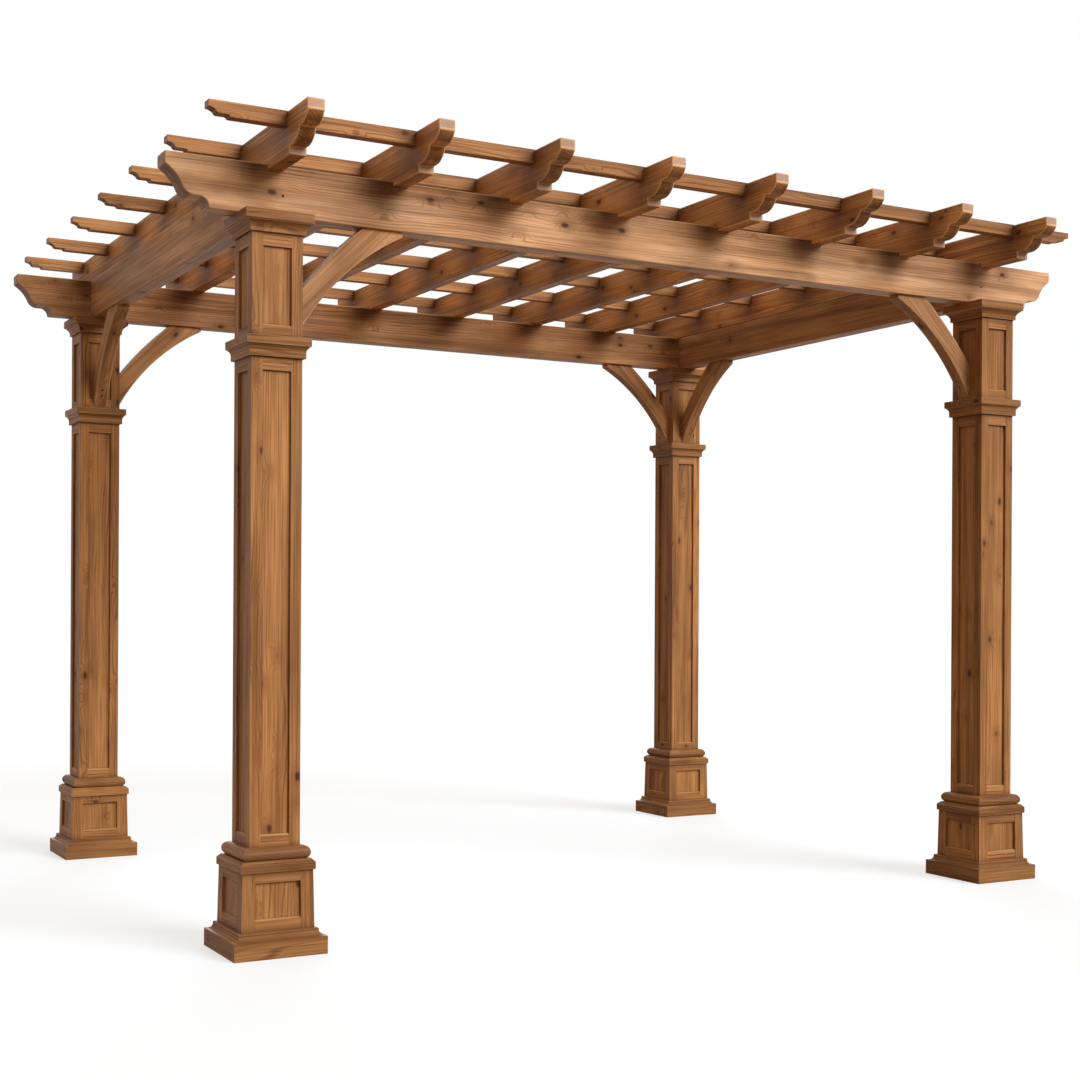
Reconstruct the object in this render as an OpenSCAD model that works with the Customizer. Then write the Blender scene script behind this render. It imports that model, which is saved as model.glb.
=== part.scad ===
// Wooden pergola: four panelled columns carry two scroll-ended beams, two side beams,
// rafters whose tails hook over the beams, slats lapped into them and curved knee braces.
// Millimetres, +Z up. The origin is on the ground, midway between the four columns.
// +X runs along the front beam and +Y runs to the back.

/* [Plan] */
// Distance between column centres along the front
column_span_x = 3360; // [2800:10:4000]
// Distance between column centres from front to back
column_span_y = 2460; // [2000:10:3000]

/* [Post] */
// Width of the square post that runs up through the whole column
post_w = 184; // [170:1:200]
// Length of the bare shaft between the base torus and the collar
shaft_h = 1690; // [1300:10:2000]
// Length of the bare neck between the collar and the capital
neck_h = 358; // [320:2:460]
// Width of the flat stile left on each side of a sunk panel
post_stile_w = 40; // [34:1:48]
// Height of the flat rail under a sunk panel of the post
post_low_rail_h = 38; // [20:1:60]
// Height of the flat rail over a sunk panel of the post
post_high_rail_h = 46; // [20:1:60]
// Depth of the sunk panels
panel_recess = 9; // [4:0.5:14]

/* [Plinth] */
// Width of the plinth board
plinth_w = 336; // [330:1:380]
// Height of the plinth board
plinth_h = 62; // [40:1:90]
// Flat ledge on the plinth board outside its cove
plinth_ledge = 6; // [2:0.5:10]
// Radius of the cove over the plinth board
plinth_cove_r = 18; // [12:0.5:22]
// Diameter of the roll that ends the plinth
plinth_roll_d = 10; // [6:0.5:12]
// How deep the roll is bedded in the cove below it
plinth_roll_bed = 1.5; // [1:0.5:2.5]

/* [Pedestal] */
// Width of the pedestal at its foot
pedestal_foot_w = 264; // [256:1:274]
// Width of the pedestal at its head
pedestal_head_w = 256; // [248:1:264]
// Height of the pedestal
pedestal_h = 202; // [150:1:280]
// Width of the stile on each side of the pedestal's sunk panel
pedestal_stile_w = 46; // [30:1:60]
// Height of the rail under the pedestal's sunk panel
pedestal_low_rail_h = 38; // [20:1:50]
// Height of the rail over the pedestal's sunk panel
pedestal_high_rail_h = 36; // [20:1:50]

/* [Surbase] */
// Width of the slab that caps the pedestal
surbase_w = 270; // [266:1:300]
// Height of that slab
surbase_slab_h = 26; // [16:1:36]
// Height of the bevel on top of the slab
surbase_bevel_h = 12; // [6:1:18]
// Diameter of the half-round torus under the shaft
torus_d = 47; // [30:1:52]
// How far the torus stands proud of the post
torus_proud = 30; // [24:1:34]
// How deep the torus is bedded in the bevel below it
torus_bed = 3; // [1:0.5:6]

/* [Collar] */
// How far the collar's foot stands proud of the post
collar_foot_proud = 11; // [5:0.5:14]
// Height of the collar's foot
collar_foot_h = 20; // [12:0.5:28]
// How far the collar's cove spreads
collar_cove_run = 9; // [6:0.5:12]
// How far the collar's cove rises
collar_cove_rise = 18; // [13:0.5:26]
// Height of the narrow fillet over the cove
collar_fillet_h = 3; // [2:0.5:8]
// How far the collar's slab overhangs its fillet
collar_slab_lip = 6; // [2:0.5:9]
// Height of the collar's slab
collar_slab_h = 29; // [18:1:40]

/* [Capital] */
// How far the capital's foot stands proud of the post
capital_foot_proud = 9; // [5:0.5:14]
// Height of the capital's foot
capital_foot_h = 10; // [6:0.5:18]
// How far the capital's cove spreads
capital_cove_run = 16; // [8:0.5:20]
// How far the capital's cove rises
capital_cove_rise = 26; // [21:0.5:32]
// Height of the narrow fillet over the cove
capital_fillet_h = 4; // [2:0.5:8]
// How far the abacus slab overhangs its fillet
capital_slab_lip = 7; // [2:0.5:12]
// Height of the abacus slab
capital_slab_h = 34; // [20:1:46]

/* [Beams] */
// Length of the front and back beams
beam_len = 4120; // [3900:10:5000]
// Height of the front and back beams
beam_h = 178; // [174:1:220]
// Thickness of the front and back beams
beam_t = 92; // [60:1:110]
// How far the front and back beams lie inside the columns' centre lines
beam_set_in = 16; // [0:1:18]
// Thickness of the two side beams
side_beam_t = 80; // [60:1:110]
// Height of the beam's upright tip
beam_tip_h = 43; // [25:1:47]
// Length of the hollow under the beam's tip
beam_hollow_run = 60; // [40:1:80]
// Drop of the hollow under the beam's tip
beam_hollow_drop = 64; // [45:1:68]
// Length of the round below the hollow
beam_round_run = 41; // [34:1:60]
// Drop of the round below the hollow
beam_round_drop = 33; // [22:1:37]
// Flat ledge between the round and the heel
beam_ledge = 23; // [8:1:40]
// Length of the hollow heel at the beam's underside
beam_heel_run = 30; // [16:1:44]
// Drop of the hollow heel at the beam's underside
beam_heel_drop = 29; // [14:1:33]

/* [Rafters] */
// Number of rafters
rafter_count = 8; // [4:1:12]
// Length of a rafter
rafter_len = 3300; // [3060:10:3900]
// Height of a rafter at its tails
rafter_h = 150; // [146:1:190]
// Thickness of a rafter
rafter_t = 62; // [40:1:70]
// How far a rafter's tails hang below the top of the beams that it sits on
rafter_tail_drop = 18; // [8:1:50]
// How far the outer rafters lie inside the outer faces of the side beams
rafter_set_in = 22; // [0:1:48]
// Height of the rafter's upright tip
rafter_tip_h = 35; // [18:1:38]
// Length of the upper round under the rafter's tip
rafter_high_run = 56; // [36:1:57]
// Drop of the upper round
rafter_high_drop = 39; // [38.5:0.5:42]
// Ledge between the upper and the lower round
rafter_high_ledge = 20; // [10:1:40]
// Length of the lower round
rafter_low_run = 66; // [42:1:70]
// Drop of the lower round
rafter_low_drop = 48; // [47:0.5:52]
// Ledge between the lower round and the upright heel
rafter_low_ledge = 26; // [12:1:60]

/* [Slats] */
// Number of slats
slat_count = 7; // [3:1:11]
// Length of a slat
slat_len = 3940; // [3700:10:4900]
// Height of a slat
slat_h = 50; // [49:1:66]
// Width of a slat
slat_w = 46; // [30:1:60]
// Distance from the rafters' tips to the middle of the outer slats
slat_inset = 216; // [170:2:260]
// How far a slat stands proud of the rafters that it is lapped into
slat_proud = 2; // [0:1:20]
// Depth of the slat's own half of the lap
slat_notch = 25; // [8:1:26]
// Height of the slat's upright tip
slat_tip_h = 23; // [14:0.5:24]
// Length of the hollow under the slat's tip
slat_hollow_run = 26; // [22:1:28]
// Drop of the hollow under the slat's tip
slat_hollow_drop = 10; // [9.5:0.5:11]
// Length of the round below the hollow
slat_round_run = 11; // [9:0.5:11.5]
// Drop of the round below the hollow
slat_round_drop = 9; // [8.5:0.5:10]
// Flat ledge between the round and the heel
slat_ledge = 26; // [18:1:36]
// Length of the hollow heel at the slat's underside
slat_heel_run = 12; // [8:0.5:16]
// Drop of the hollow heel at the slat's underside
slat_heel_drop = 6.5; // [5:0.5:7]

/* [Braces] */
// Thickness of a brace
brace_t = 60; // [40:1:80]
// How far a brace reaches along the beam from the post's face
brace_reach = 414; // [340:2:520]
// How high a brace stands above the collar at its foot
brace_foot_clear = 4; // [0:1:20]
// Height of the brace's foot against the post
brace_foot_h = 150; // [110:1:190]
// Length of the brace's head against the beam
brace_head_l = 155; // [110:1:200]
// Height of the upright nib at the brace's head
brace_nib_h = 18; // [8:1:30]
// How deep the brace's underside is hollowed
brace_hollow = 46; // [20:1:70]
// How far the brace's top edge swells
brace_swell = 12; // [4:1:24]

/* [Fit] */
// Sideways play of a notch on the timber that it sits over
notch_play = 1; // [0:0.2:3]

/* [Hidden] */
// Smoothness of true arcs
$fn = 180;
// Amount that a cutting tool runs past the face that it cuts
past = 10;
// Amount that neighbouring cuts lap over each other
lap = 1;

// Heights of the column's levels
pedestal_z = plinth_h + plinth_cove_r + plinth_roll_d - plinth_roll_bed;
surbase_z = pedestal_z + pedestal_h;
shaft_z = surbase_z + surbase_slab_h + surbase_bevel_h + torus_d - torus_bed;
collar_z = shaft_z + shaft_h;
collar_h = collar_foot_h + collar_cove_rise + collar_fillet_h + collar_slab_h;
neck_z = collar_z + collar_h;
capital_z = neck_z + neck_h;
capital_h = capital_foot_h + capital_cove_rise + capital_fillet_h + capital_slab_h;

// Heights of the roof's levels
beam_z = capital_z + capital_h;
rafter_z = beam_z + beam_h - rafter_tail_drop;
rafter_top_z = rafter_z + rafter_h;
slat_z = rafter_top_z + slat_proud - slat_h;

// Outer rafters lie on the side beams, the rest are spaced evenly between them
rafter_span = column_span_x + side_beam_t - 2 * rafter_set_in - rafter_t;
rafter_pitch = rafter_span / (rafter_count - 1);

// Outer slats lie near the rafters' tips, the rest are spaced evenly between them
slat_pitch = (rafter_len - 2 * slat_inset) / (slat_count - 1);

// Distance of the front and back beams from the middle
beam_y = column_span_y / 2 - beam_set_in;

// Fullness of the scrolls' curves, as the bulge of an arc over its chord
hollow_fullness = 0.08;
round_fullness = 0.15;
heel_fullness = 0.16;

// Colours of the stained timber
stain = "#9a663c";
stain_light = "#a8744a";
stain_dark = "#85552f";

SIDES = [["front_left", -1, -1], ["front_right", 1, -1], ["back_left", -1, 1], ["back_right", 1, 1]];
COLUMN_PIECES = ["plinth", "pedestal", "surbase", "post", "collar", "capital"];

// Centre and radius of the arc from a to b that bulges to the left by the given amount
function arc_radius(a, b, bulge) = (pow(norm(b - a) / 2, 2) + bulge * bulge) / (2 * bulge);
function arc_left(a, b) = [a[1] - b[1], b[0] - a[0]] / norm(b - a);
function arc_centre(a, b, bulge) = (a + b) / 2 - (arc_radius(a, b, bulge) - bulge) * arc_left(a, b);

module arc_disc(a, b, bulge)
    translate(arc_centre(a, b, bulge))
        circle(arc_radius(a, b, bulge));

// A square moulding: the outline swept round four mitred sides
module squared(width) {
    intersection() {
        rotate([90, 0, 0]) linear_extrude(width, center = true) children();
        rotate([90, 0, 90]) linear_extrude(width, center = true) children();
    }
}

// A band of an outline that is as wide as given, from one height to another
module band(width, low, high)
    translate([-width / 2, low])
        square([width, high - low]);

// The square way of the post through a piece that wraps it
module post_way(low, high)
    translate([-post_w / 2, -post_w / 2, low - past])
        cube([post_w, post_w, high - low + 2 * past]);

// Four copies, one for each face of a column
module each_face()
    for (turn = [0:90:270])
        rotate(turn) children();

module plinth() {
    cove_top = plinth_h + plinth_cove_r;
    cove_half = plinth_w / 2 - plinth_ledge;
    roll_half = cove_half - plinth_cove_r;
    color(stain)
    difference() {
        squared(plinth_w) {
            band(plinth_w, 0, plinth_h);
            difference() {
                band(2 * cove_half, plinth_h, cove_top);
                for (side = [-1, 1]) translate([side * cove_half, cove_top]) circle(plinth_cove_r);
            }
            band(2 * roll_half - plinth_roll_d, cove_top, pedestal_z);
            for (side = [-1, 1])
                translate([side * (roll_half - plinth_roll_d / 2), pedestal_z - plinth_roll_d / 2])
                    circle(d = plinth_roll_d);
        }
        post_way(0, pedestal_z);
    }
}

module pedestal() {
    foot = pedestal_foot_w / 2;
    head = pedestal_head_w / 2;
    panel_low = pedestal_z + pedestal_low_rail_h;
    panel_high = surbase_z - pedestal_high_rail_h;
    panel_w = pedestal_head_w - 2 * pedestal_stile_w;
    color(stain_light)
    difference() {
        squared(pedestal_foot_w)
            polygon([[-foot, pedestal_z], [foot, pedestal_z], [head, surbase_z], [-head, surbase_z]]);
        each_face()
            rotate([90, 0, 90])
                linear_extrude(panel_w, center = true)
                    intersection() {
                        translate([0, panel_low]) square([pedestal_foot_w, panel_high - panel_low]);
                        translate([-panel_recess, 0])
                            polygon([[foot, pedestal_z], [pedestal_foot_w, pedestal_z],
                                     [pedestal_foot_w, surbase_z], [head, surbase_z]]);
                    }
        post_way(pedestal_z, surbase_z);
    }
}

module surbase() {
    slab_top = surbase_z + surbase_slab_h;
    torus_low = slab_top + surbase_bevel_h;
    torus_half = post_w / 2 + torus_proud;
    slab_half = surbase_w / 2;
    color(stain)
    difference() {
        squared(surbase_w) {
            band(surbase_w, surbase_z, slab_top);
            polygon([[-slab_half, slab_top], [slab_half, slab_top],
                     [torus_half, torus_low], [-torus_half, torus_low]]);
            band(2 * torus_half - torus_d, torus_low, shaft_z);
            for (side = [-1, 1])
                translate([side * (torus_half - torus_d / 2), shaft_z - torus_d / 2])
                    circle(d = torus_d);
        }
        post_way(surbase_z, shaft_z);
    }
}

// The sunk panel of one face, between two levels of the post
module post_panel(low, high)
    translate([post_stile_w - post_w / 2, -post_w / 2 - past, low + post_low_rail_h])
        cube([post_w - 2 * post_stile_w, panel_recess + past,
              high - low - post_low_rail_h - post_high_rail_h]);

module post() {
    color(stain_light)
    difference() {
        translate([-post_w / 2, -post_w / 2, 0]) cube([post_w, post_w, beam_z]);
        each_face() {
            post_panel(shaft_z, collar_z);
            post_panel(neck_z, capital_z);
        }
    }
}

// A crown moulding that wraps the post: foot, cove, fillet and overhanging slab
module crown(low, foot_proud, foot_h, cove_run, cove_rise, fillet_h, lip, slab_h) {
    foot_half = post_w / 2 + foot_proud;
    cove_half = foot_half + cove_run;
    cove_low = low + foot_h;
    cove_top = cove_low + cove_rise;
    slab_low = cove_top + fillet_h;
    slab_w = 2 * (cove_half + lip);
    cove_r = (cove_run * cove_run + cove_rise * cove_rise) / (2 * cove_run);
    difference() {
        squared(slab_w) {
            band(2 * foot_half, low, cove_low);
            difference() {
                band(2 * cove_half, cove_low, cove_top);
                for (side = [-1, 1]) translate([side * (foot_half + cove_r), cove_low]) circle(cove_r);
            }
            band(2 * cove_half, cove_top, slab_low);
            band(slab_w, slab_low, slab_low + slab_h);
        }
        post_way(low, slab_low + slab_h);
    }
}

module collar()
    color(stain)
    crown(collar_z, collar_foot_proud, collar_foot_h, collar_cove_run, collar_cove_rise,
          collar_fillet_h, collar_slab_lip, collar_slab_h);

module capital()
    color(stain)
    crown(capital_z, capital_foot_proud, capital_foot_h, capital_cove_run, capital_cove_rise,
          capital_fillet_h, capital_slab_lip, capital_slab_h);

module column_piece(piece) {
    if (piece == "plinth") plinth();
    if (piece == "pedestal") pedestal();
    if (piece == "surbase") surbase();
    if (piece == "post") post();
    if (piece == "collar") collar();
    if (piece == "capital") capital();
}

// What is sawn off one end to an ogee: upright tip, hollow, round, ledge and hollow heel.
// The tip's top corner is at the origin, and the timber runs to the right.
module ogee_waste(h, tip_h, hollow_run, hollow_drop, round_run, round_drop, ledge, heel_run, heel_drop) {
    tip = [0, -tip_h];
    turn = tip + [hollow_run, -hollow_drop];
    low = turn + [round_run, -round_drop];
    edge = low + [ledge, 0];
    heel = edge + [heel_run, -heel_drop];
    heel_bulge = heel_fullness * norm(heel - edge);
    heel_middle = arc_centre(edge, heel, heel_bulge);
    bottom = -h - past;
    difference() {
        union() {
            intersection() {
                arc_disc(tip, turn, hollow_fullness * norm(turn - tip));
                translate([-past, turn[1] - 2 * lap]) square([past + low[0], hollow_drop + 2 * lap + past]);
            }
            translate([-past, bottom]) square([past + low[0] + lap, turn[1] - lap - bottom]);
        }
        arc_disc(low, turn, round_fullness * norm(low - turn));
    }
    translate([-past, bottom]) square([past + heel_middle[0], low[1] - bottom]);
    intersection() {
        arc_disc(edge, heel, heel_bulge);
        translate([-past, bottom]) square([past + heel[0], low[1] - bottom]);
    }
    translate([-past, bottom]) square([past + heel[0], heel_middle[1] - bottom]);
}

// What is sawn off one end to two rounds: upright tip, round, ledge, round, ledge and upright heel.
// The tip's top corner is at the origin, and the timber runs to the right.
module double_round_waste(h, tip_h, high_run, high_drop, high_ledge, low_run, low_drop, low_ledge) {
    tip = [0, -tip_h];
    high = tip + [high_run, -high_drop];
    step = high + [high_ledge, 0];
    low = step + [low_run, -low_drop];
    heel = low + [low_ledge, 0];
    bottom = -h - past;
    difference() {
        translate([-past, bottom]) square([past + high[0] + lap, tip[1] + lap - bottom]);
        arc_disc(high, tip, round_fullness * norm(high - tip));
    }
    difference() {
        translate([-past, bottom]) square([past + low[0] + lap, step[1] - bottom]);
        arc_disc(low, step, round_fullness * norm(low - step));
    }
    translate([-past, bottom]) square([past + heel[0], low[1] - bottom]);
}

// A timber along X, centred, with both ends cut to the scroll that is given as its waste
module scroll_timber(length, h, t)
    difference() {
        translate([-length / 2, -t / 2, 0]) cube([length, t, h]);
        for (end = [0, 180])
            rotate(end)
                translate([-length / 2, 0, h])
                    rotate([90, 0, 0])
                        linear_extrude(t + 2 * past, center = true) children();
    }

module main_beam()
    color(stain_light)
    translate([0, 0, beam_z])
        scroll_timber(beam_len, beam_h, beam_t)
            ogee_waste(beam_h, beam_tip_h, beam_hollow_run, beam_hollow_drop,
                       beam_round_run, beam_round_drop, beam_ledge, beam_heel_run, beam_heel_drop);

module front_beam() translate([0, -beam_y, 0]) main_beam();

module back_beam() translate([0, beam_y, 0]) main_beam();

// A side beam butts between the front and back beams and carries an outer rafter
module side_beam() {
    length = 2 * beam_y - beam_t;
    color(stain)
    translate([-side_beam_t / 2, -length / 2, beam_z])
        cube([side_beam_t, length, beam_h]);
}

module left_beam() translate([-column_span_x / 2, 0, 0]) side_beam();

module right_beam() translate([column_span_x / 2, 0, 0]) side_beam();

// A knee brace that lies along +X with its foot in the sunk panel of the post's face.
// The corner of the post's face and the beam's underside is at the outline's origin.
module brace_outline() {
    drop = beam_z - neck_z - brace_foot_clear;
    rail_top = neck_z + post_low_rail_h - beam_z;
    foot_low = [0, -drop];
    foot_high = [0, brace_foot_h - drop];
    head_near = [brace_reach - brace_head_l, 0];
    head_far = [brace_reach, -brace_nib_h];
    difference() {
        intersection() {
            translate([-panel_recess, -drop]) square([brace_reach + panel_recess, drop]);
            arc_disc(foot_high, head_near, brace_swell);
        }
        arc_disc(foot_low, head_far, brace_hollow);
        translate([-panel_recess - past, -drop - past]) square([panel_recess + past, drop + past + rail_top]);
    }
}

module brace()
    color(stain_dark)
    translate([post_w / 2, 0, beam_z])
        rotate([90, 0, 0])
            linear_extrude(brace_t, center = true)
                brace_outline();

// A brace along the front or back beam, turned towards the middle of the span
module beam_brace(side_x, side_y)
    translate([side_x * column_span_x / 2, side_y * beam_y, 0])
        rotate(side_x < 0 ? 0 : 180) brace();

// A brace along a side beam at the back, turned towards the front
module side_brace(side_x)
    translate([side_x * column_span_x / 2, column_span_y / 2, 0])
        rotate(-90) brace();

function rafter_x(i) = (i - (rafter_count + 1) / 2) * rafter_pitch;
function slat_y(i) = (i - (slat_count + 1) / 2) * slat_pitch;

module rafter(i) {
    seat_len = 2 * beam_y + beam_t + notch_play;
    lap_w = slat_w + notch_play;
    lap_h = slat_h - slat_notch - slat_proud;
    color(stain_dark)
    translate([rafter_x(i), 0, rafter_z])
        difference() {
            rotate(90)
                scroll_timber(rafter_len, rafter_h, rafter_t)
                    double_round_waste(rafter_h, rafter_tip_h,
                                       rafter_high_run, rafter_high_drop, rafter_high_ledge,
                                       rafter_low_run, rafter_low_drop, rafter_low_ledge);
            translate([-rafter_t, -seat_len / 2, -past])
                cube([2 * rafter_t, seat_len, rafter_tail_drop + past]);
            for (k = [1:slat_count])
                translate([-rafter_t, slat_y(k) - lap_w / 2, rafter_h - lap_h])
                    cube([2 * rafter_t, lap_w, lap_h + past]);
        }
}

module slat(i) {
    notch_w = rafter_t + notch_play;
    color(stain)
    translate([0, slat_y(i), slat_z])
        difference() {
            scroll_timber(slat_len, slat_h, slat_w)
                ogee_waste(slat_h, slat_tip_h, slat_hollow_run, slat_hollow_drop,
                           slat_round_run, slat_round_drop, slat_ledge, slat_heel_run, slat_heel_drop);
            for (k = [1:rafter_count])
                translate([rafter_x(k) - notch_w / 2, -slat_w, -past])
                    cube([notch_w, 2 * slat_w, slat_notch + past]);
        }
}

for (side = SIDES)
    for (piece = COLUMN_PIECES)
        translate([side[1] * column_span_x / 2, side[2] * column_span_y / 2, 0]) column_piece(piece);
front_beam();
back_beam();
left_beam();
right_beam();
for (side = SIDES)
    beam_brace(side[1], side[2]);
side_brace(-1);  // back_left_side_brace
side_brace(1);  // back_right_side_brace
for (i = [1:rafter_count])
    rafter(i);
for (i = [1:slat_count])
    slat(i);
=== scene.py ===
"""Wooden pergola: stained timber pieces with eased edges, grain, mitres and screws, on a plain floor."""

import math
import random

import bmesh
import bpy
from mathutils import Matrix, Vector
from mathutils.bvhtree import BVHTree


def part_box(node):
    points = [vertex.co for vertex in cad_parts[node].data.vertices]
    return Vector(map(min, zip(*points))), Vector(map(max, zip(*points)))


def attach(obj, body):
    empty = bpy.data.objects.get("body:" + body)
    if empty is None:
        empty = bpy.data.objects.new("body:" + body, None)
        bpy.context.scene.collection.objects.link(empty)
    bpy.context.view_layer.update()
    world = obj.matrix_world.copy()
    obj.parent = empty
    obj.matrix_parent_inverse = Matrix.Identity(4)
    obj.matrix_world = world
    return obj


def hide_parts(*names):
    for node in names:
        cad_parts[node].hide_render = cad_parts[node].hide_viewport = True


bl_info = {
    "name": "Wooden pergola",
    "version": (1, 0, 0),
    "blender": (4, 5, 0),
    "location": "View3D > Sidebar > Pergola",
    "description": "Dresses the pergola's frame in stained, jointed and eased timber",
    "category": "Add Mesh",
}

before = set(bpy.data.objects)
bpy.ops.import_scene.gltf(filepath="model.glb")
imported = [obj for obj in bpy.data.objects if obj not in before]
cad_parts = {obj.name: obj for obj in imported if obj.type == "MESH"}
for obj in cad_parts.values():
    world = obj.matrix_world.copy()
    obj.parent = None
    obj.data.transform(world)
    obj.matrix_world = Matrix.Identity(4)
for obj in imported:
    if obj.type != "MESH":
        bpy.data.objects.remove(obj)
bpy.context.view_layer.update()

CORNERS = ("front_left", "front_right", "back_left", "back_right")
MOULDINGS = ("plinth", "surbase", "collar", "capital")
CEDAR = "Stained cedar"
WHITE = (1, 1, 1, 1)
X_AXIS = Vector((1, 0, 0))
Y_AXIS = Vector((0, 1, 0))
Z_AXIS = Vector((0, 0, 1))
ALONG_X = (X_AXIS, Y_AXIS, Z_AXIS)
ALONG_Y = (Y_AXIS, X_AXIS, Z_AXIS)
ALONG_Z = (Z_AXIS, X_AXIS, Y_AXIS)
RAFTERS = sorted(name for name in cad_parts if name.startswith("rafter_"))
SLATS = sorted(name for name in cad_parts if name.startswith("slat_"))

# Marks on the faces of an eased edge: convex faces get a painted highlight, concave creases get painted shade
ARRIS = 1
CREASE = 2
# Turns between faces that count as an edge to ease, as part of a curve and as part of an eased edge
EDGE_TURN = math.radians(18)
CURVE_TURN = math.radians(12)
EASED_TURN = math.radians(38)
# Faces that turn less than this are one flat face
FLAT_TURN = math.radians(0.4)
# Points closer than this are one point, and a mitre's cut takes in points this close to it, in metres
SAME_POINT = 1e-5
MITRE_REACH = 1e-6
# Facets over the eased edge of a timber, a moulding and a board
TIMBER_FACETS = 3
MOULDING_FACETS = 2
BOARD_FACETS = 1
# A face is a sawn end where it faces along the grain at least this squarely; a face that does so past the
# second value gets painted shade as part of a sawn or scroll-cut end
END_FACING = 0.97
SCROLL_FACING = 0.35
# How far the middle of the tree lies from a timber's own, and where along a tree a timber was sawn, in metres
PITH_RANGE = (0.03, 0.22)
GRAIN_RANGE = (0.0, 40.0)
# Cuts over the painted shade round a panel's opening, and on each side of a soft patch of painted shade
RIM_CUTS = 3
PATCH_CUTS = 5
# How far the cuts of a soft patch of painted shade reach, in halves of its width
PATCH_REACH = 2.2
# Turns of the four faces of a column, and of a mitre's two cuts
FACE_TURNS = [math.radians(angle) for angle in (0, 90, 180, 270)]
MITRE_TURNS = [math.radians(angle) for angle in (-45, 45)]


def linear(hex_colour):
    """Turns an sRGB hex colour to linear RGBA."""
    channels = [int(hex_colour[i : i + 2], 16) / 255 for i in (1, 3, 5)]
    light = [c / 12.92 if c <= 0.04045 else ((c + 0.055) / 1.055) ** 2.4 for c in channels]
    return (*light, 1.0)


def colour_property(name, description, hex_colour):
    return bpy.props.FloatVectorProperty(
        name=name, description=description, subtype="COLOR", size=4, min=0, max=1, default=linear(hex_colour)
    )


def length_property(name, description, default):
    return bpy.props.FloatProperty(
        name=name, description=description, default=default, min=0, unit="LENGTH", precision=4
    )


def share_property(name, description, default):
    return bpy.props.FloatProperty(
        name=name, description=description, default=default, min=0, max=1, subtype="FACTOR"
    )


def number_property(name, description, default, low, high):
    return bpy.props.FloatProperty(name=name, description=description, default=default, min=low, max=high)


def angle_property(name, description, degrees):
    return bpy.props.FloatProperty(
        name=name, description=description, default=math.radians(degrees), subtype="ANGLE"
    )


def vector_property(name, description, default, subtype):
    return bpy.props.FloatVectorProperty(
        name=name, description=description, default=default, size=3, subtype=subtype
    )


class PergolaTimber(bpy.types.PropertyGroup):
    """Sizes of the joinery that the scene draws on the solids, how far each timber is stained, and where and
    how dark the painted shade lies.
    """

    timber_ease: length_property("Timber ease", "Width of the eased edges of beams, rafters, slats", 0.0045)
    moulding_ease: length_property("Moulding ease", "Width of the eased edges of the mouldings", 0.0028)
    board_ease: length_property("Board ease", "Width of the eased edges of stiles, rails and panels", 0.0028)
    rail_set_back: length_property("Rail set-back", "How far the rails lie behind the stiles", 0.0006)
    board_t: length_property("Board thickness", "Thickness of rails and panels", 0.018)
    panel_tuck: length_property("Panel tuck", "How far a panel runs behind its stiles and rails", 0.004)
    panel_recess: length_property("Panel recess", "Depth of the sunk panels", 0.009)
    # The sill is a sloped strip that is painted lighter all over, as a painted highlight
    sill_rise: length_property("Sill rise", "Height of the rubbed sill at the foot of a panel", 0.0045)
    post_stile: length_property("Post stile", "Width of the stiles of a post", 0.040)
    post_low_rail: length_property("Post low rail", "Height of the rail under a panel of a post", 0.038)
    post_high_rail: length_property("Post high rail", "Height of the rail over a panel of a post", 0.046)
    pedestal_head: length_property("Pedestal head", "Width of the pedestal at its head", 0.256)
    pedestal_stile: length_property("Pedestal stile", "Width of the pedestal's stiles at its head", 0.046)
    pedestal_low_rail: length_property("Pedestal low rail", "Height of the rail under its panel", 0.038)
    pedestal_high_rail: length_property("Pedestal high rail", "Height of the rail over its panel", 0.036)
    # Painted shade round the opening of each sunk panel
    rim_w: length_property("Rim width", "Width of the stain that pools round a sunk panel", 0.016)
    rim_strength: share_property("Rim strength", "How dark that stain is", 0.6)
    # Painted shade on the boards next to the mouldings over and under them
    rest_reach: length_property("Rest reach", "How far stain gathers from a moulding over a post", 0.034)
    rest_strength: share_property("Rest strength", "How dark that stain is", 0.55)
    # Painted shade in the creases of a moulding
    crease_shade: share_property("Crease pool", "How dark the stain is by the creases of a moulding", 0.5)
    # Painted shade on beams, rafters and slats by each timber that crosses them, fading down from the top,
    # set left of the rafters on the beams; and on cut ends
    beam_patch: length_property("Beam patch", "Half of the width of the stain on a beam by a rafter", 0.085)
    beam_drop: length_property("Beam drop", "How far that stain runs down the beam", 0.135)
    patch_lean: length_property("Patch lean", "How far that stain lies to the left of the rafter", 0.080)
    rafter_patch: length_property("Rafter patch", "Half of the width of the stain by a slat", 0.125)
    slat_patch: length_property("Slat patch", "Half of the width of the stain by a rafter", 0.085)
    roof_drop: length_property("Roof drop", "How far the stain runs down a rafter or slat", 0.400)
    roof_strength: share_property("Roof strength", "How dark that stain is", 0.80)
    scroll_strength: share_property("Scroll strength", "How dark the scroll-cut ends are stained", 0.66)
    front_weather: share_property("Front weather", "How far the front beam has greyed", 1.0)
    beam_weather: share_property("Beam weather", "How far the other beams have greyed", 0.35)
    brace_weather: share_property("Brace weather", "How far the braces have greyed", 0.4)
    roof_weather: share_property("Roof weather", "How far the rafters and slats have greyed", 0.10)
    front_thin: number_property("Front thin", "How much thinner the front beam is stained", 0.5, -5, 5)
    rafter_thin: number_property("Rafter thin", "How much thinner the rafters are stained", 4.0, -5, 5)
    slat_thin: number_property("Slat thin", "How much thinner the slats are stained", 0.0, -5, 5)
    moulding_thin: number_property("Moulding thin", "How much thinner the mouldings are stained", -1.5, -5, 5)


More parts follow.
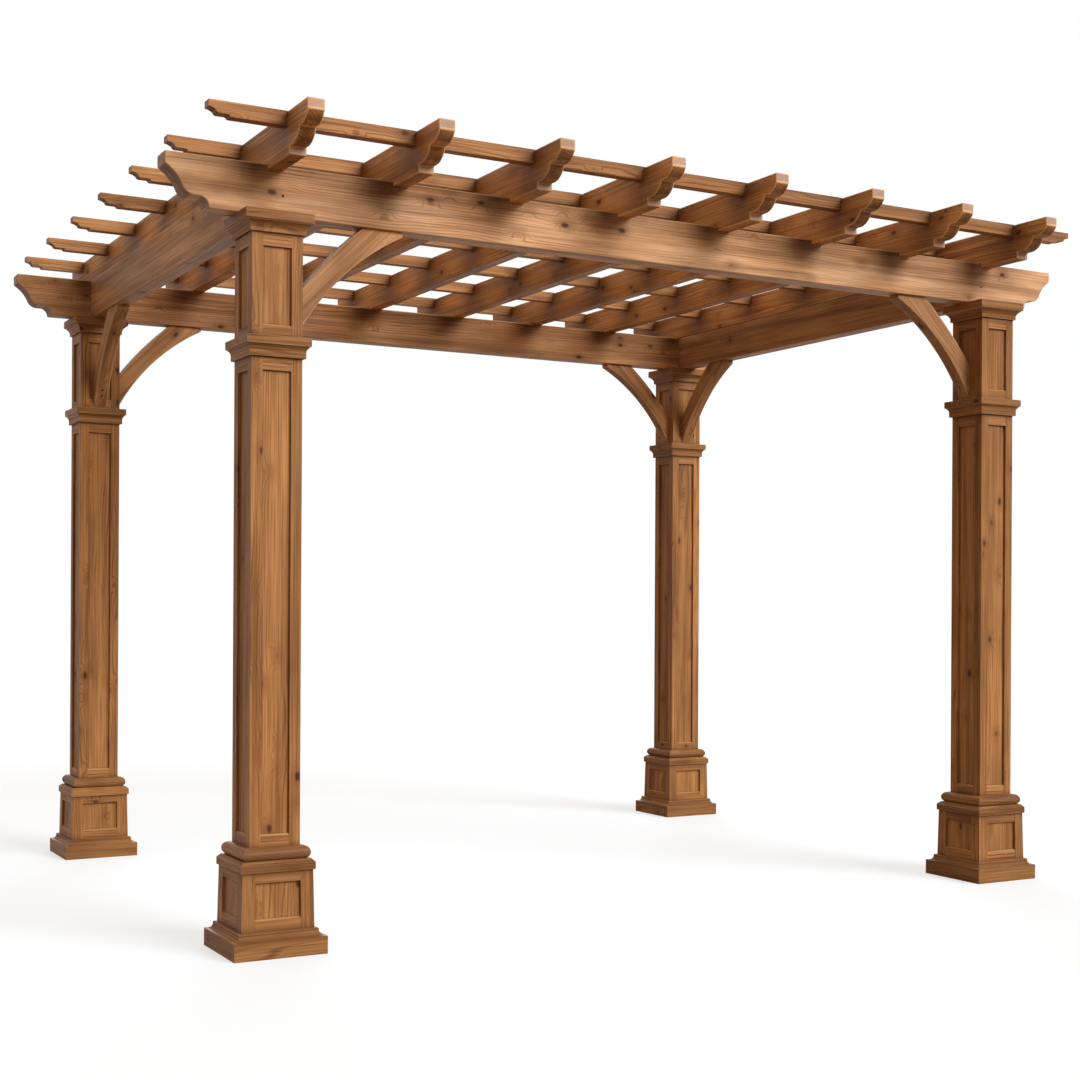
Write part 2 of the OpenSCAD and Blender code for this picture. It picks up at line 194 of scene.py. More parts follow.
class PergolaFinish(bpy.types.PropertyGroup):
    """Colours of the stained timber, of its painted shade and painted highlight, and of its screws."""

    early_wood: colour_property("Early wood", "Pale part of the growth rings under the stain", "#b78250")
    late_wood: colour_property("Late wood", "Dark part of the growth rings under the stain", "#794c27")
    streak: colour_property("Streak", "Broad darker streaks along the grain", "#693f1f")
    knot: colour_property("Knot", "Heart of a knot", "#35200f")
    weathered: colour_property("Weathered", "Timber that has lost some of its stain", "#e4b58b")
    # Painted shade: the dark colour laid in corners, creases, next to mouldings, by crossing timbers and on
    # cut ends
    shade_paint: colour_property("Pooled stain", "Stain that has gathered in corners", "#3c1d08")
    end_grain: colour_property("End grain", "Sawn ends, greyer than the faces", "#a08676")
    # Painted highlight: the pale colour laid on convex eased edges and on the sills
    highlight_paint: colour_property("Rubbed edge", "Eased edges, where the stain is rubbed thin", "#dcb386")
    steel: colour_property("Screw steel", "Blackened steel of the screw heads", "#2b2522")


class PergolaScrews(bpy.types.PropertyGroup):
    """Sizes of the screw and bolt heads."""

    head_d: length_property("Head diameter", "Diameter of a sunk screw head", 0.009)
    foot_rise: length_property("Foot rise", "Height of the lower screw above a brace's foot", 0.052)
    foot_step: length_property("Foot step", "Distance between the two screws of a brace's foot", 0.026)
    bolt_inset: length_property("Bolt inset", "Distance of a bolt from the column's middle line", 0.040)
    head_h: length_property("Head height", "Height of a screw head", 0.004)
    stand: length_property("Stand", "How far a head stands proud of the timber", 0.0004)
    bolt_level: share_property("Bolt level", "Height of a bolt on the beam, as a part of the beam", 0.41)
    bolt_scale: number_property("Bolt scale", "Size of a bolt head against a screw head", 1.1, 1, 4)
    sides: bpy.props.IntProperty(
        name="Sides", description="Sides of a head's outline", default=16, min=6, max=48
    )


class PergolaStage(bpy.types.PropertyGroup):
    """Floor, lights and camera."""

    camera_place: vector_property(
        "Camera place", "Where the camera stands", (-3.6184, -6.7145, 1.2258), "TRANSLATION"
    )
    camera_heading: angle_property("Camera heading", "Turn of the view from +Y towards +X", 28.93)
    camera_roll: angle_property("Camera roll", "Roll of the camera about its view", 0.294)
    lens: number_property("Lens", "Focal length in millimetres", 54.59, 10, 200)
    rise: number_property("Rise", "Upward shift of the frame, in frame widths", 0.0562, -0.5, 0.5)
    floor_half: length_property("Floor half", "Half of the floor's width", 60.0)
    floor_colour: colour_property("Floor", "Pale floor", "#a4aab2")
    bounce_colour: colour_property("Bounce", "Light that the floor throws back on the timber", "#7d6a55")
    fill_colour: colour_property("Fill", "Colour of the even fill", "#ffebd0")
    floor_lift: share_property("Floor lift", "White added to the floor as the camera sees it", 0.62)
    sun_strength: number_property("Key light", "Strength of the soft key", 2.85, 0, 20)
    sun_from: vector_property("Key from", "Where the key light comes from", (0.42, -0.82, 0.52), "DIRECTION")
    sun_spread: angle_property("Key spread", "Angle that the key light fills", 34)
    back_strength: number_property("Back light", "Strength of the weaker light from behind", 1.2, 0, 20)
    back_from: vector_property("Back from", "Where that light comes from", (0.35, 0.85, 0.40), "DIRECTION")
    sky_strength: share_property("Sky", "Strength of the even fill", 0.52)


def add_node(tree, kind, inputs=None, **settings):
    """Adds one node, sets its settings and fills its inputs with nodes, sockets or constants."""
    node = tree.nodes.new(kind)
    for name, value in settings.items():
        setattr(node, name, value)
    for key, value in (inputs or {}).items():
        if isinstance(value, bpy.types.Node):
            value = next(socket for socket in value.outputs if socket.enabled)
        if isinstance(value, bpy.types.NodeSocket):
            tree.links.new(value, node.inputs[key])
        else:
            node.inputs[key].default_value = value
    return node


# Noises of the cedar: real size in metres along the board and twice across it, detail, the band of values
# that shows, and what the band's ends give. The fibres are drawn coarser than real so that they show
CEDAR_NOISES = {
    "wander": ((1.25, 0.17, 0.17), 3.0, None, None),
    "shown": ((1.1, 0.11, 0.11), 1.0, (0.38, 0.62), (0.20, 1.0)),
    "fibre": ((0.34, 0.0062, 0.0062), 4.0, (0.34, 0.72), (0.0, 1.0)),
    "streak": ((1.2, 0.034, 0.034), 4.0, (0.38, 0.74), (0.0, 1.0)),
    "cloud": ((0.50, 0.20, 0.20), 2.0, (0.30, 0.70), (0.82, 1.18)),
    "grey": ((0.36, 0.07, 0.07), 3.0, (0.34, 0.62), (0.5, 1.0)),
    "check": ((0.62, 0.0048, 0.0048), 1.0, (0.70, 0.735), (0.0, 1.0)),
}
# Knots lie in cells of this size in metres, of which this share is left clear; heart and halo fade over parts
# of a cell, and the halo pushes the rings aside, in metres
KNOT_APART = (0.15, 0.085, 0.085)
KNOT_CLEAR = 0.34
KNOT_HEART = (0.06, 0.16)
KNOT_HALO = (0.08, 0.46)
KNOT_PUSH = 0.026
# Distance between growth rings and how far they wander, in metres, and the part of a ring that is dark
RING_APART = 0.010
RING_SWAY = 0.11
RING_DARK = (0.25, 1.0)
# Weight of fibres and rings in the figure, and how much of it is left on greyed timber
FIBRE_WEIGHT = 0.52
RING_WEIGHT = 0.55
GREYED_FIGURE = 0.62
# Light of the darkest and the palest board, roughness of pale and dark fibres, and gloss of the oil
BOARD_TONES = (0.92, 1.06)
SATIN = (0.48, 0.62)
OIL_IOR = 1.48
OIL_SPECULAR = 0.14
# Heights of rings and drying checks against the fibres, and strength and depth in metres of the whole relief
RING_RELIEF = 0.35
CHECK_RELIEF = -1.6
RELIEF_STRENGTH = 0.25
RELIEF_DEPTH = 0.001


def empty_material(name):
    """A new material, with nothing in its tree yet."""
    material = bpy.data.materials.new(name)
    material.use_nodes = True
    material.node_tree.nodes.clear()
    return material


def cedar_knots(tree, grain):
    """Dark hearts of about 20 mm, and the halos round them."""
    place = add_node(tree, "ShaderNodeVectorMath", {0: grain, 1: KNOT_APART}, operation="DIVIDE")
    cell = add_node(tree, "ShaderNodeTexVoronoi", {"Vector": place, "Scale": 1.0})
    chance = add_node(tree, "ShaderNodeSeparateColor", {0: cell.outputs["Color"]})
    kept = add_node(tree, "ShaderNodeMath", {0: chance, 1: KNOT_CLEAR}, operation="GREATER_THAN")
    found = []
    for near, far in (KNOT_HEART, KNOT_HALO):
        fade = {"From Min": near, "From Max": far, "To Min": 1.0, "To Max": 0.0}
        fade["Value"] = cell.outputs["Distance"]
        shape = add_node(tree, "ShaderNodeMapRange", fade, interpolation_type="SMOOTHSTEP")
        found.append(add_node(tree, "ShaderNodeMath", {0: shape, 1: kept}, operation="MULTIPLY"))
    return found


def cedar_rings(tree, grain, wander, shown, halo):
    """Growth rings that wander along the board, are pushed aside by knots and fade here and there."""
    across = add_node(tree, "ShaderNodeVectorMath", {0: grain, 1: (0, 1, 1)}, operation="MULTIPLY")
    radius = add_node(tree, "ShaderNodeVectorMath", {0: across}, operation="LENGTH")
    swayed = add_node(tree, "ShaderNodeMath", {0: wander, 1: RING_SWAY, 2: radius}, operation="MULTIPLY_ADD")
    pushed = add_node(tree, "ShaderNodeMath", {0: halo, 1: KNOT_PUSH, 2: swayed}, operation="MULTIPLY_ADD")
    turns = add_node(tree, "ShaderNodeMath", {0: pushed, 1: 2 * math.pi / RING_APART}, operation="MULTIPLY")
    wave = add_node(tree, "ShaderNodeMath", {0: turns}, operation="SINE")
    dark = {"Value": wave, "From Min": RING_DARK[0], "From Max": RING_DARK[1]}
    line = add_node(tree, "ShaderNodeMapRange", dark, interpolation_type="SMOOTHSTEP")
    return add_node(tree, "ShaderNodeMath", {0: line, 1: shown}, operation="MULTIPLY")


def stained_cedar(finish):
    """Stained cedar, planed and oiled: fine straight grain with knots, satin, greyer on sawn ends."""
    material = empty_material(CEDAR)
    tree = material.node_tree
    grain = add_node(tree, "ShaderNodeAttribute", attribute_name="grain").outputs["Vector"]
    marks = {}
    for name in ("tone", "weather", "painted_shade", "end", "painted_highlight", "crease"):
        marks[name] = add_node(tree, "ShaderNodeAttribute", attribute_name=name).outputs["Fac"]
    noises = {}
    for name, (size, detail, band, ends) in CEDAR_NOISES.items():
        place = add_node(tree, "ShaderNodeVectorMath", {0: grain, 1: size}, operation="DIVIDE")
        noises[name] = add_node(tree, "ShaderNodeTexNoise", {"Vector": place, "Scale": 1.0, "Detail": detail})
        if band:
            fade = {"From Min": band[0], "From Max": band[1], "To Min": ends[0], "To Max": ends[1]}
            fade["Value"] = noises[name]
            noises[name] = add_node(tree, "ShaderNodeMapRange", fade, interpolation_type="SMOOTHSTEP")
    fibre = noises["fibre"]
    check = noises["check"]
    heart, halo = cedar_knots(tree, grain)
    ring = cedar_rings(tree, grain, noises["wander"], noises["shown"], halo)

    # Fibres and rings make the figure, which is weaker and paler where the timber has greyed
    fine = add_node(tree, "ShaderNodeMath", {0: fibre, 1: FIBRE_WEIGHT}, operation="MULTIPLY")
    strong = add_node(tree, "ShaderNodeMath", {0: ring, 1: RING_WEIGHT, 2: fine}, operation="MULTIPLY_ADD")
    worn = add_node(tree, "ShaderNodeMath", {0: noises["grey"], 1: marks["weather"]}, operation="MULTIPLY")
    kept = add_node(tree, "ShaderNodeMapRange", {"Value": worn, "To Min": 1.0, "To Max": GREYED_FIGURE})
    figure = add_node(tree, "ShaderNodeMath", {0: strong, 1: kept}, operation="MULTIPLY")
    pale = {0: worn, 6: tuple(finish.early_wood), 7: tuple(finish.weathered)}
    ground = add_node(tree, "ShaderNodeMix", pale, data_type="RGBA")
    drawn = {0: figure, 6: ground, 7: tuple(finish.late_wood)}
    wood = add_node(tree, "ShaderNodeMix", drawn, data_type="RGBA")

    # Each mark covers the ones before it, at its own strength: the timber's figure and stain, then painted
    # shade, end grain, a painted highlight on convex eased edges and painted shade in creases
    for strength, amount, colour in (
        (0.62, noises["streak"], finish.streak),
        (0.46, halo, finish.late_wood),
        (0.88, heart, finish.knot),
        (0.60, check, finish.knot),
        (0.86, marks["painted_shade"], finish.shade_paint),
        (0.80, marks["end"], finish.end_grain),
        (0.48, marks["painted_highlight"], finish.highlight_paint),
        (0.72, marks["crease"], finish.shade_paint),
    ):
        share = add_node(tree, "ShaderNodeMath", {0: amount, 1: strength}, operation="MULTIPLY")
        wood = add_node(tree, "ShaderNodeMix", {0: share, 6: wood, 7: tuple(colour)}, data_type="RGBA")
    tones = {"Value": marks["tone"], "To Min": BOARD_TONES[0], "To Max": BOARD_TONES[1]}
    board_tone = add_node(tree, "ShaderNodeMapRange", tones, clamp=False)
    patch = add_node(tree, "ShaderNodeMath", {0: board_tone, 1: noises["cloud"]}, operation="MULTIPLY")
    toned = add_node(tree, "ShaderNodeVectorMath", {0: wood, 3: patch}, operation="SCALE")

    satin = add_node(tree, "ShaderNodeMapRange", {"Value": fibre, "To Min": SATIN[0], "To Max": SATIN[1]})
    raised = add_node(tree, "ShaderNodeMath", {0: ring, 1: RING_RELIEF, 2: fibre}, operation="MULTIPLY_ADD")
    heights = {0: check, 1: CHECK_RELIEF, 2: raised}
    relief = add_node(tree, "ShaderNodeMath", heights, operation="MULTIPLY_ADD")
    depth = {"Height": relief, "Strength": RELIEF_STRENGTH, "Distance": RELIEF_DEPTH}
    bump = add_node(tree, "ShaderNodeBump", depth)
    oiled = {"Base Color": toned, "Roughness": satin, "Normal": bump}
    oiled.update({"IOR": OIL_IOR, "Specular IOR Level": OIL_SPECULAR})
    shader = add_node(tree, "ShaderNodeBsdfPrincipled", oiled)
    add_node(tree, "ShaderNodeOutputMaterial", {"Surface": shader})
    return material


def shared_cedar():
    """The one material of all the timber, made when the first piece asks for it."""
    return bpy.data.materials.get(CEDAR) or stained_cedar(bpy.context.scene.pergola_finish)


def blackened_steel(finish):
    """Blackened steel, stamped: dark, dull and metallic."""
    material = empty_material("Blackened steel")
    tree = material.node_tree
    stamped = {"Base Color": tuple(finish.steel), "Metallic": 0.85, "Roughness": 0.55}
    shader = add_node(tree, "ShaderNodeBsdfPrincipled", stamped)
    add_node(tree, "ShaderNodeOutputMaterial", {"Surface": shader})
    return material


def seen_rays(tree):
    """1 for rays that show the background: camera, glossy and transmitted ones."""
    path = add_node(tree, "ShaderNodeLightPath")
    seen = path.outputs["Is Camera Ray"]
    for name in ("Is Glossy Ray", "Is Transmission Ray"):
        seen = add_node(tree, "ShaderNodeMath", {0: seen, 1: path.outputs[name]}, operation="MAXIMUM")
    return seen


def studio_floor(stage):
    """Pale matt floor: white where it is seen, apart from the shadow, and darker in what it throws back."""
    material = empty_material("Pale studio floor")
    tree = material.node_tree
    seen = seen_rays(tree)
    colours = {0: seen, 6: tuple(stage.bounce_colour), 7: tuple(stage.floor_colour)}
    colour = add_node(tree, "ShaderNodeMix", colours, data_type="RGBA")
    matt = {"Base Color": colour, "Roughness": 0.9, "Specular IOR Level": 0.0}
    shader = add_node(tree, "ShaderNodeBsdfPrincipled", matt)
    lift = add_node(tree, "ShaderNodeMath", {0: seen, 1: stage.floor_lift}, operation="MULTIPLY")
    glow = add_node(tree, "ShaderNodeEmission", {"Strength": lift})
    both = add_node(tree, "ShaderNodeAddShader", {0: shader, 1: glow})
    add_node(tree, "ShaderNodeOutputMaterial", {"Surface": both})
    return material


class Joinery:
    """Timber parts gathered to one piece, each with its own grain and tone."""

    def __init__(self, name, weather=0.0, thin=0.0):
        self.name = name
        self.weather = weather
        self.thin = thin
        self.chance = random.Random(name)
        self.points = []
        self.faces = []
        self.grain = []
        self.tone = []
        self.painted_shade = []
        self.end = []
        self.painted_highlight = []
        self.crease = []

    def pith(self):
        """Where the middle of the tree lies, seen from the timber's own middle."""
        side = self.chance.choice((-1, 1))
        return side * self.chance.uniform(*PITH_RANGE)

    def add(self, form, axes, shade_paint=None, creased=0.0):
        """Takes one timber with its grain along the first of three axes, and the painted shade on it: from a
        function of place and facing if one is given, else on its creases.
        """
        form.normal_update()
        first = len(self.points)
        shift = Vector((self.chance.uniform(*GRAIN_RANGE), self.pith(), self.pith()))
        middle = sum((v.co for v in form.verts), Vector()) / len(form.verts)
        tone = self.chance.random() + self.thin
        for index, vert in enumerate(form.verts):
            vert.index = index
            place = vert.co - middle
            self.points.append(vert.co.copy())
            self.grain.append(Vector([place.dot(axis) for axis in axes]) + shift)
            self.tone.append(tone)
            crease = any(face.material_index == CREASE for face in vert.link_faces)
            self.painted_shade.append(shade_paint(vert.co, vert.normal) if shade_paint else creased * crease)
        for face in form.faces:
            self.faces.append([first + v.index for v in face.verts])
            self.end.append(1.0 if abs(face.normal.dot(axes[0])) > END_FACING else 0.0)
            self.painted_highlight.append(1.0 if face.material_index == ARRIS else 0.0)
            self.crease.append(1.0 if face.material_index == CREASE else 0.0)
        form.free()

    def piece(self, slot, replaced):
        """Makes the object, which stands for the solids that it replaces."""
        mesh = bpy.data.meshes.new(self.name)
        mesh.from_pydata(self.points, [], self.faces)
        grain = mesh.attributes.new("grain", "FLOAT_VECTOR", "POINT")
        grain.data.foreach_set("vector", [c for place in self.grain for c in place])
        weather = [self.weather] * len(self.points)
        for name, domain, values in (
            ("tone", "POINT", self.tone),
            ("painted_shade", "POINT", self.painted_shade),
            ("weather", "POINT", weather),
            ("end", "FACE", self.end),
            ("painted_highlight", "FACE", self.painted_highlight),
            ("crease", "FACE", self.crease),
        ):
            mesh.attributes.new(name, "FLOAT", domain).data.foreach_set("value", values)
        keep_edges_crisp(mesh)
        mesh.materials.append(shared_cedar())
        piece = bpy.data.objects.new(self.name, mesh)
        bpy.context.scene.collection.objects.link(piece)
        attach(piece, "root")
        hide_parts(*replaced)
        return piece


def keep_edges_crisp(mesh):
    """Shades curves and eased edges smooth and leaves flat faces flat."""
    form = bmesh.new()
    form.from_mesh(mesh)
    painted_highlight = form.faces.layers.float["painted_highlight"]
    for face in form.faces:
        face.smooth = True
    for edge in form.edges:
        eased = all(face[painted_highlight] > 0 for face in edge.link_faces)
        edge.smooth = edge.calc_face_angle(math.pi) < (EASED_TURN if eased else CURVE_TURN)
    form.to_mesh(mesh)
    form.free()


def solid_copy(node):
    """A merged copy of a solid, with its flat faces whole."""
    form = bmesh.new()
    form.from_mesh(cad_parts[node].data)
    bmesh.ops.remove_doubles(form, verts=form.verts, dist=SAME_POINT)
    bmesh.ops.dissolve_limit(form, angle_limit=FLAT_TURN, verts=form.verts, edges=form.edges)
    return form


def ease_edges(form, width, segments):
    """Rounds the sharp edges, and notes which are convex, for a painted highlight, and which are creases, for
    painted shade.
    """
    sharp = [e for e in form.edges if e.is_manifold and e.calc_face_angle(0) > EDGE_TURN]
    eased = bmesh.ops.bevel(
        form, geom=sharp, offset=width, offset_type="OFFSET", segments=segments, profile=0.5,
        affect="EDGES", clamp_overlap=True,
    )
    form.normal_update()
    for face in eased["faces"]:
        turns = [e.calc_face_angle_signed(0) for e in face.edges if e.is_manifold]
        face.material_index = ARRIS if sum(turns) > 0 else CREASE
    return form


def cut_across(form, axis, places):
    """Cuts faces at several places along an axis, so that a stain can fade over them."""
    for place in places:
        geometry = form.verts[:] + form.edges[:] + form.faces[:]
        bmesh.ops.bisect_plane(form, geom=geometry, plane_co=axis * place, plane_no=axis, dist=SAME_POINT)


def eased_timber(node, axes, slot, weather=0.0):
    """A whole timber: the solid with eased edges and its own grain."""
    ease = bpy.context.scene.pergola_timber.timber_ease
    work = Joinery(node + "_timber", weather)
    work.add(ease_edges(solid_copy(node), ease, TIMBER_FACETS), axes)
    work.piece(slot, [node])


def patched_timber(node, axes, slot, patches, weather, thin=0.0):
    """A whole timber with soft patches of painted shade by the timbers that lie across it, and painted shade
    on its sawn and scroll-cut ends.
    """
    middles, half, drop, strength = patches
    sizes = bpy.context.scene.pergola_timber
    along = axes[0]
    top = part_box(node)[1].z
    form = ease_edges(solid_copy(node), sizes.timber_ease, TIMBER_FACETS)
    steps = [PATCH_REACH * half * k / PATCH_CUTS for k in range(-PATCH_CUTS, PATCH_CUTS + 1)]
    cut_across(form, along, [middle + step for middle in middles for step in steps])
    cut_across(form, Z_AXIS, [top - drop * k / PATCH_CUTS for k in range(1, PATCH_CUTS + 1)])

    # Painted shade: a patch by each crossing timber that fades down from the top, and the ends by their
    # facing
    def amount(place, facing):
        depth = max(0.0, 1.0 - (top - place.z) / drop)
        side = min(abs(place.dot(along) - middle) for middle in middles)
        patch = strength * math.exp(-((side / half) ** 2)) * depth * depth * (3 - 2 * depth)
        return max(patch, sizes.scroll_strength if abs(facing.dot(along)) > SCROLL_FACING else 0.0)

    work = Joinery(node + "_timber", weather, thin)
    work.add(form, axes, amount)
    work.piece(slot, [node])


def mitred_stick(node, middle, turn):
    """One of the four mitred sticks that a square moulding is made of."""
    form = solid_copy(node)
    for lean in MITRE_TURNS:
        normal = Matrix.Rotation(turn + lean, 3, "Z") @ X_AXIS
        geometry = form.verts[:] + form.edges[:] + form.faces[:]
        cut = bmesh.ops.bisect_plane(
            form, geom=geometry, plane_co=middle, plane_no=normal, clear_inner=True, dist=MITRE_REACH
        )
        rim = [e for e in cut["geom_cut"] if isinstance(e, bmesh.types.BMEdge)]
        bmesh.ops.edgenet_fill(form, edges=rim)
    bmesh.ops.recalc_face_normals(form, faces=form.faces)
    return form


def board(bottom, top, low, high, ease):
    """A board between two levels. Each level gives its x and y limits, so a board may taper."""
    form = bmesh.new()
    corners = []
    for (x0, x1, y0, y1), z in ((bottom, low), (top, high)):
        corners.append([form.verts.new(p) for p in ((x0, y0, z), (x1, y0, z), (x1, y1, z), (x0, y1, z))])
    lower, upper = corners
    form.faces.new(lower[::-1])
    form.faces.new(upper)
    for i in range(4):
        k = (i + 1) % 4
        form.faces.new((lower[i], lower[k], upper[k], upper[i]))
    return ease_edges(form, ease, BOARD_FACETS)


def turned(form, turn, middle):
    """Turns a board about a column's upright middle line and puts it in place."""
    place = Matrix.Translation((middle.x, middle.y, 0)) @ Matrix.Rotation(turn, 4, "Z")
    bmesh.ops.transform(form, matrix=place, verts=form.verts)
    return form


def sunk_panel(bottom, top, low, high, turn, middle, opening):
    """A panel board with painted shade round its opening, and the function that tells how much."""
    sizes = bpy.context.scene.pergola_timber
    inner, open_low, open_high = opening
    rim = sizes.rim_w
    form = board(bottom, top, low, high, sizes.board_ease)
    steps = [rim * k / RIM_CUTS for k in range(RIM_CUTS + 1)]
    cut_across(form, X_AXIS, [side * (inner - step) for step in steps for side in (-1, 1)])
    cut_across(form, Z_AXIS, [open_low + step for step in steps] + [open_high - step for step in steps])
    back = Matrix.Rotation(-turn, 3, "Z")

    def amount(place, _facing):
        across = (back @ Vector((place.x - middle.x, place.y - middle.y, 0))).x
        inside = min(inner - abs(across), place.z - open_low, open_high - place.z)
        return sizes.rim_strength * min(1.0, max(0.0, 1.0 - inside / rim)) ** 2

    return turned(form, turn, middle), amount


def shade_by_mouldings(form, levels):
    """Cuts a board near the mouldings that close on it, and tells how much painted shade lies there."""
    sizes = bpy.context.scene.pergola_timber
    reach = sizes.rest_reach
    steps = [reach * k / RIM_CUTS for k in range(-RIM_CUTS, RIM_CUTS + 1)]
    cut_across(form, Z_AXIS, [level + step for level in levels for step in steps])

    def amount(place, _facing):
        near = min(abs(place.z - level) for level in levels)
        return sizes.rest_strength * max(0.0, 1.0 - near / reach) ** 2

    return form, amount


def highlight_paint(form):
    """Marks all of a strip for the painted highlight."""
    for face in form.faces:
        face.material_index = ARRIS
    return form


def column_middle(corner):
    low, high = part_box(corner + "_post")
    return (low + high) / 2


def face_axes(turn):
    """Grain axes of a level board on the front of a column, turned with it."""
    return ALONG_X if round(math.cos(turn)) else ALONG_Y


def tapered_level(taper, z, side, thick, sink):
    """x and y limits, at one level, of a board that lies behind a tapering face."""
    (low, foot), (high, head) = taper
    face = sink - foot - (head - foot) * (z - low) / (high - low)
    return (-side, side, face, face + thick)


class PERGOLA_OT_mouldings(bpy.types.Operator):
    """Cut plinths, surbases, collars and capitals to mitred sticks"""

    bl_idname = "pergola.mouldings"
    bl_label = "Mouldings"

    def execute(self, context):
        sizes = context.scene.pergola_timber
        for corner in CORNERS:
            middle = column_middle(corner)
            for kind in MOULDINGS:
                node = corner + "_" + kind
                work = Joinery(node + "_sticks", thin=sizes.moulding_thin)
                for turn in FACE_TURNS:
                    stick = ease_edges(mitred_stick(node, middle, turn), sizes.moulding_ease, MOULDING_FACETS)
                    work.add(stick, face_axes(turn + math.pi / 2), creased=sizes.crease_shade)
                work.piece("mouldings", [node])
        return {"FINISHED"}


class PERGOLA_OT_pedestals(bpy.types.Operator):
    """Joint the pedestals from stiles, rails and sunk panels"""

    bl_idname = "pergola.pedestals"
    bl_label = "Pedestals"

    def execute(self, context):
        sizes = context.scene.pergola_timber
        ease = sizes.board_ease
        thick = sizes.board_t
        for corner in CORNERS:
            node = corner + "_pedestal"
            low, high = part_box(node)
            middle = column_middle(corner)
            foot = (high.x - low.x) / 2
            head = sizes.pedestal_head / 2
            inner = head - sizes.pedestal_stile
            panel_low = low.z + sizes.pedestal_low_rail
            panel_high = high.z - sizes.pedestal_high_rail
            taper = ((low.z, foot), (high.z, head))
            rests = (low.z, high.z)
            work = Joinery(node + "_boards")
            for turn in FACE_TURNS:
                bottom = (inner, foot, -foot, -inner)
                top = (inner, head, -head, -inner)
                stile, amount = shade_by_mouldings(board(bottom, top, low.z, high.z, ease), rests)
                work.add(turned(stile, turn, middle), ALONG_Z, amount)
                for z0, z1 in ((low.z, panel_low), (panel_high, high.z)):
                    ends = [tapered_level(taper, z, inner, thick, sizes.rail_set_back) for z in (z0, z1)]
                    rail, amount = shade_by_mouldings(board(*ends, z0, z1, ease), rests)
                    work.add(turned(rail, turn, middle), face_axes(turn), amount)
                z0 = panel_low - sizes.panel_tuck
                z1 = panel_high + sizes.panel_tuck
                side = inner + sizes.panel_tuck
                ends = [tapered_level(taper, z, side, thick, sizes.panel_recess) for z in (z0, z1)]
                opening = (inner, panel_low, panel_high)
                panel, amount = sunk_panel(*ends, z0, z1, turn, middle, opening)
                work.add(panel, ALONG_Z, amount)
                # The sill's slope is painted lighter all over, as a painted highlight
                sill_top = panel_low + sizes.sill_rise
                bottom = tapered_level(taper, panel_low, inner, thick, sizes.rail_set_back)
                top = tapered_level(taper, sill_top, inner, thick, sizes.panel_recess)
                sill = highlight_paint(board(bottom, top, panel_low, sill_top, sizes.rail_set_back))
                work.add(turned(sill, turn, middle), face_axes(turn))
            work.piece("pedestals", [node])
        return {"FINISHED"}


class PERGOLA_OT_posts(bpy.types.Operator):
    """Joint the posts from corner stiles, rails and sunk panels"""

    bl_idname = "pergola.posts"
    bl_label = "Posts"

    def execute(self, context):
        sizes = context.scene.pergola_timber
        ease = sizes.board_ease
        for corner in CORNERS:
            node = corner + "_post"
            low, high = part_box(node)
            middle = column_middle(corner)
            half = (high.x - low.x) / 2
            inner = half - sizes.post_stile
            shaft = (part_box(corner + "_surbase")[1].z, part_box(corner + "_collar")[0].z)
            neck = (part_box(corner + "_collar")[1].z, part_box(corner + "_capital")[0].z)
            rests = (*shaft, *neck)
            work = Joinery(node + "_boards")
            for turn in FACE_TURNS:
                stile = (inner, half, -half, -inner)
                upright, amount = shade_by_mouldings(board(stile, stile, low.z, high.z, ease), rests)
                work.add(turned(upright, turn, middle), ALONG_Z, amount)
                rail = (-inner, inner, -half + sizes.rail_set_back, -half + sizes.board_t)
                for z0, z1 in (shaft, neck):
                    for r0, r1 in ((z0, z0 + sizes.post_low_rail), (z1 - sizes.post_high_rail, z1)):
                        level, amount = shade_by_mouldings(board(rail, rail, r0, r1, ease), rests)
                        work.add(turned(level, turn, middle), face_axes(turn), amount)
                side = inner + sizes.panel_tuck
                face = -half + sizes.panel_recess
                flat = (-side, side, face, face + sizes.board_t)
                for (z0, z1), (open_low, open_high) in (((low.z, neck[0]), shaft), ((neck[0], high.z), neck)):
                    opening = (inner, open_low + sizes.post_low_rail, open_high - sizes.post_high_rail)
                    panel, amount = sunk_panel(flat, flat, z0, z1, turn, middle, opening)
                    work.add(panel, ALONG_Z, amount)
                # The sill's slope is painted lighter all over, as a painted highlight
                sill = (-inner, inner, face, -half + sizes.board_t)
                for z0 in (shaft[0] + sizes.post_low_rail, neck[0] + sizes.post_low_rail):
                    slope = highlight_paint(board(rail, sill, z0, z0 + sizes.sill_rise, sizes.rail_set_back))
                    work.add(turned(slope, turn, middle), face_axes(turn))
            work.piece("posts", [node])
        return {"FINISHED"}


def crossings(nodes, axis):
    """Where the middles of some timbers lie along an axis."""
    return [sum(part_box(node), Vector()).dot(axis) / 2 for node in nodes]


class PERGOLA_OT_beams(bpy.types.Operator):
    """Ease the beams, and paint shade on the front and back ones by the rafters and on their ends"""

    bl_idname = "pergola.beams"
    bl_label = "Beams"

    def execute(self, context):
        sizes = context.scene.pergola_timber
        middles = [x - sizes.patch_lean for x in crossings(RAFTERS, X_AXIS)]
        patches = (middles, sizes.beam_patch, sizes.beam_drop, 1.0)
        patched_timber("front_beam", ALONG_X, "beams", patches, sizes.front_weather, sizes.front_thin)
        patched_timber("back_beam", ALONG_X, "beams", patches, sizes.beam_weather)
        for node in ("left_beam", "right_beam"):
            eased_timber(node, ALONG_Y, "beams", sizes.beam_weather)
        return {"FINISHED"}


